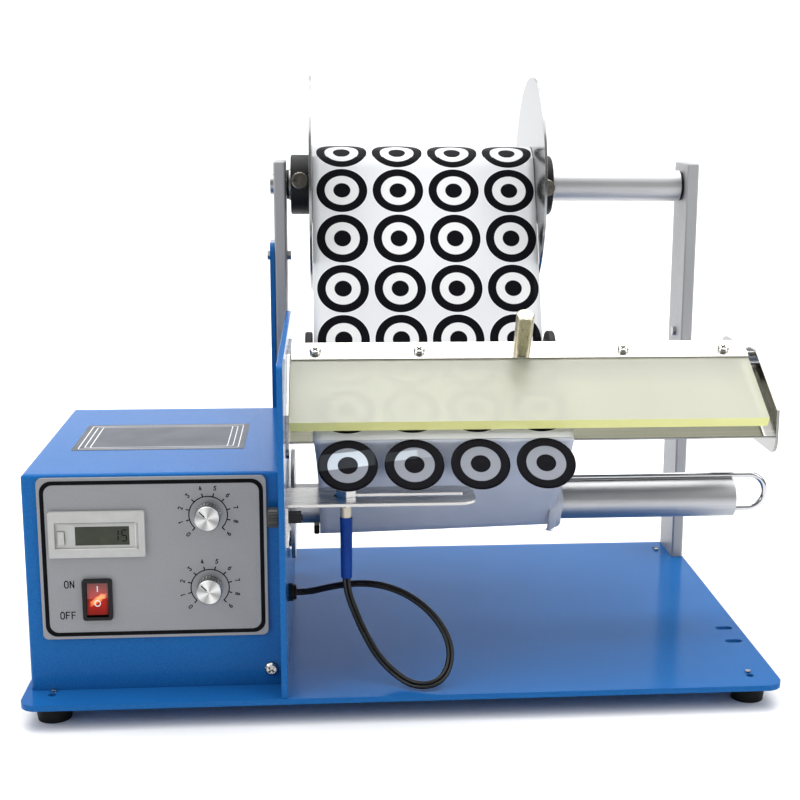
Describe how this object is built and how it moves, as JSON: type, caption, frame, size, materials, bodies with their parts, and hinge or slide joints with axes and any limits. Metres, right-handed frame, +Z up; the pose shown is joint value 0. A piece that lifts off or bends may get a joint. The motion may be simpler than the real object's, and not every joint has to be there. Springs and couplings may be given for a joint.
{
  "type": "label dispenser",
  "caption": "Motor-driven label dispenser: overhead supply reel, sloping peel tray with hinged clear cover, take-up spool, adjustable fibre sensor and side control box.",
  "frame": {"origin": "on the floor under the feet, at the middle of the whole part's width and depth", "axes": "+X to the right seen from the front, +Y from the front to the back, +Z up"},
  "size_m": [0.4134, 0.301, 0.33],
  "materials": {
    "blue_coat": "gloss powder coat",
    "grey_coat": "satin silver-grey coat",
    "zinc_steel": "zinc-plated",
    "stainless": "brushed",
    "polished_sheet": "mirror polished",
    "bright_wire": "bright",
    "anodised": "satin anodised",
    "fascia_silver": "fine-brushed, printed",
    "yellow_zinc": "satin",
    "bearing_bronze": "satin",
    "black_rubber": "matt",
    "black_plastic": "satin",
    "dark_knob": "knurled",
    "spun_silver": "spun face, knurled side",
    "beige_plastic": "satin",
    "clear_window": "clear",
    "red_lens": "translucent, lit",
    "blue_sleeve": "heat-shrunk",
    "black_fibre": "satin",
    "green_board": "satin",
    "card": "grey-brown paperboard",
    "label_paper": "satin white film",
    "liner_paper": "satin release paper",
    "acrylic": "edge-lit clear acrylic"
  },
  "bodies": {
    "frame": {"base_plate": "blue_coat", "side_plate": "blue_coat", "rear_riser": "blue_coat", "box_cover": "blue_coat", "box_rear_panel": "blue_coat", "rubber_feet": "black_rubber", "left_post": "grey_coat", "right_post": "grey_coat", "post_bolts": "zinc_steel", "axle_pins": "zinc_steel", "pan_screws": "zinc_steel", "label_web": "liner_paper", "waste_liner": "liner_paper", "dispensed_labels": "label_paper", "guide_rod": "anodised", "label_tray": "polished_sheet", "cover_hinge_rod": "bright_wire", "spool_bearing": "bearing_bronze", "fibre_drop": "black_fibre", "fibre_loop": "black_fibre", "cable_grommet": "black_rubber", "power_inlet": "black_plastic", "fascia_plate": "fascia_silver", "counter_case": "beige_plastic", "counter_window": "clear_window", "switch_housing": "black_plastic", "potentiometers": "zinc_steel", "gear_motor": "zinc_steel", "control_board": "green_board", "fibre_amplifier": "black_plastic"},
    "reel": {"supply_shaft": "anodised", "shaft_bushes": "black_plastic", "left_disc": "polished_sheet", "left_collar": "black_plastic", "roll_core": "card", "label_roll": "label_paper"},
    "reel_flange": {"right_disc": "polished_sheet", "right_collar": "black_plastic"},
    "left_collar_screw": {"left_thumb_screw": "dark_knob"},
    "right_collar_screw": {"right_thumb_screw": "dark_knob"},
    "take_up": {"spool_hub": "anodised", "spool_tube": "anodised", "wound_liner": "liner_paper"},
    "liner_clip": {"hairpin_clip": "bright_wire"},
    "cover": {"acrylic_cover": "acrylic", "clamp_strip": "polished_sheet", "strip_screws": "zinc_steel", "lift_pillar": "yellow_zinc"},
    "sensor_arm": {"sensor_bracket": "stainless", "bracket_block": "black_plastic"},
    "arm_clamp": {"clamp_knob": "dark_knob"},
    "sensor": {"sensor_head": "zinc_steel", "sensor_nuts": "bright_wire", "sensor_sleeve": "blue_sleeve"},
    "left_ring": {"left_guide_ring": "black_plastic"},
    "right_ring": {"right_guide_ring": "black_plastic"},
    "length_dial": {"length_knob": "spun_silver"},
    "speed_dial": {"speed_knob": "spun_silver"},
    "power_rocker": {"switch_rocker": "red_lens"},
    "counter_reset": {"reset_button": "beige_plastic"}
  },
  "joints": [
    {"name": "takeup_spin", "type": "hinge", "parent": "frame", "child": "take_up", "pos_m": [-0.00873, -0.0505, 0.0892], "axis": [1, 0, 0], "continuous": true},
    {"name": "reel_spin", "type": "hinge", "parent": "frame", "child": "reel", "pos_m": [-0.00873, 0.0825, 0.262], "axis": [1, 0, 0], "continuous": true},
    {"name": "flange_slide", "type": "slide", "parent": "reel", "child": "reel_flange", "axis": [1, 0, 0], "range_m": [0, 0.075]},
    {"name": "left_collar_screw_turn", "type": "hinge", "parent": "reel", "child": "left_collar_screw", "pos_m": [-0.06552, 0.0825, 0.262], "axis": [0, 0.9903, -0.1392], "range_deg": [-360, 0]},
    {"name": "right_collar_screw_turn", "type": "hinge", "parent": "reel_flange", "child": "right_collar_screw", "pos_m": [0.08887, 0.0825, 0.262], "axis": [0, 1, 0], "range_deg": [-360, 0]},
    {"name": "clip_slide", "type": "slide", "parent": "take_up", "child": "liner_clip", "axis": [1, 0, 0], "range_m": [0, 0.13]},
    {"name": "cover_lift", "type": "hinge", "parent": "frame", "child": "cover", "pos_m": [-0.00873, -0.04954, 0.17394], "axis": [-1, 0, 0], "range_deg": [0, 80]},
    {"name": "arm_tilt", "type": "hinge", "parent": "frame", "child": "sensor_arm", "pos_m": [-0.07072, -0.1362, 0.1065], "axis": [1, 0, 0], "range_deg": [-15, 0], "deforming": ["fibre_drop", "fibre_loop"]},
    {"name": "arm_clamp_turn", "type": "hinge", "parent": "sensor_arm", "child": "arm_clamp", "pos_m": [-0.07472, -0.1362, 0.1065], "axis": [1, 0, 0], "range_deg": [0, 360]},
    {"name": "sensor_slide", "type": "slide", "parent": "sensor_arm", "child": "sensor", "axis": [1, 0, 0], "range_m": [-0.003, 0.055], "deforming": ["fibre_drop", "fibre_loop"]},
    {"name": "left_ring_slide", "type": "slide", "parent": "frame", "child": "left_ring", "axis": [-1, 0, 0], "range_m": [0, 0.007]},
    {"name": "right_ring_slide", "type": "slide", "parent": "frame", "child": "right_ring", "axis": [1, 0, 0], "range_m": [0, 0.1]},
    {"name": "length_turn", "type": "hinge", "parent": "frame", "child": "length_dial", "pos_m": [-0.11083, -0.1355, 0.1073], "axis": [0, 1, 0], "range_deg": [-90, 180]},
    {"name": "speed_turn", "type": "hinge", "parent": "frame", "child": "speed_dial", "pos_m": [-0.11083, -0.1355, 0.0685], "axis": [0, 1, 0], "range_deg": [-90, 180]},
    {"name": "power_rock", "type": "hinge", "parent": "frame", "child": "power_rocker", "pos_m": [-0.16773, -0.13, 0.0635], "axis": [1, 0, 0], "range_deg": [0, 18]},
    {"name": "reset_press", "type": "slide", "parent": "frame", "child": "counter_reset", "axis": [0, 1, 0], "range_m": [0, 0.0008], "stiffness_N_per_m": 400, "springref_m": -0.0005}
  ],
  "couplings": [
    {"joint": "reel_spin", "follows": "takeup_spin", "ratio": 0.6939}
  ]
}
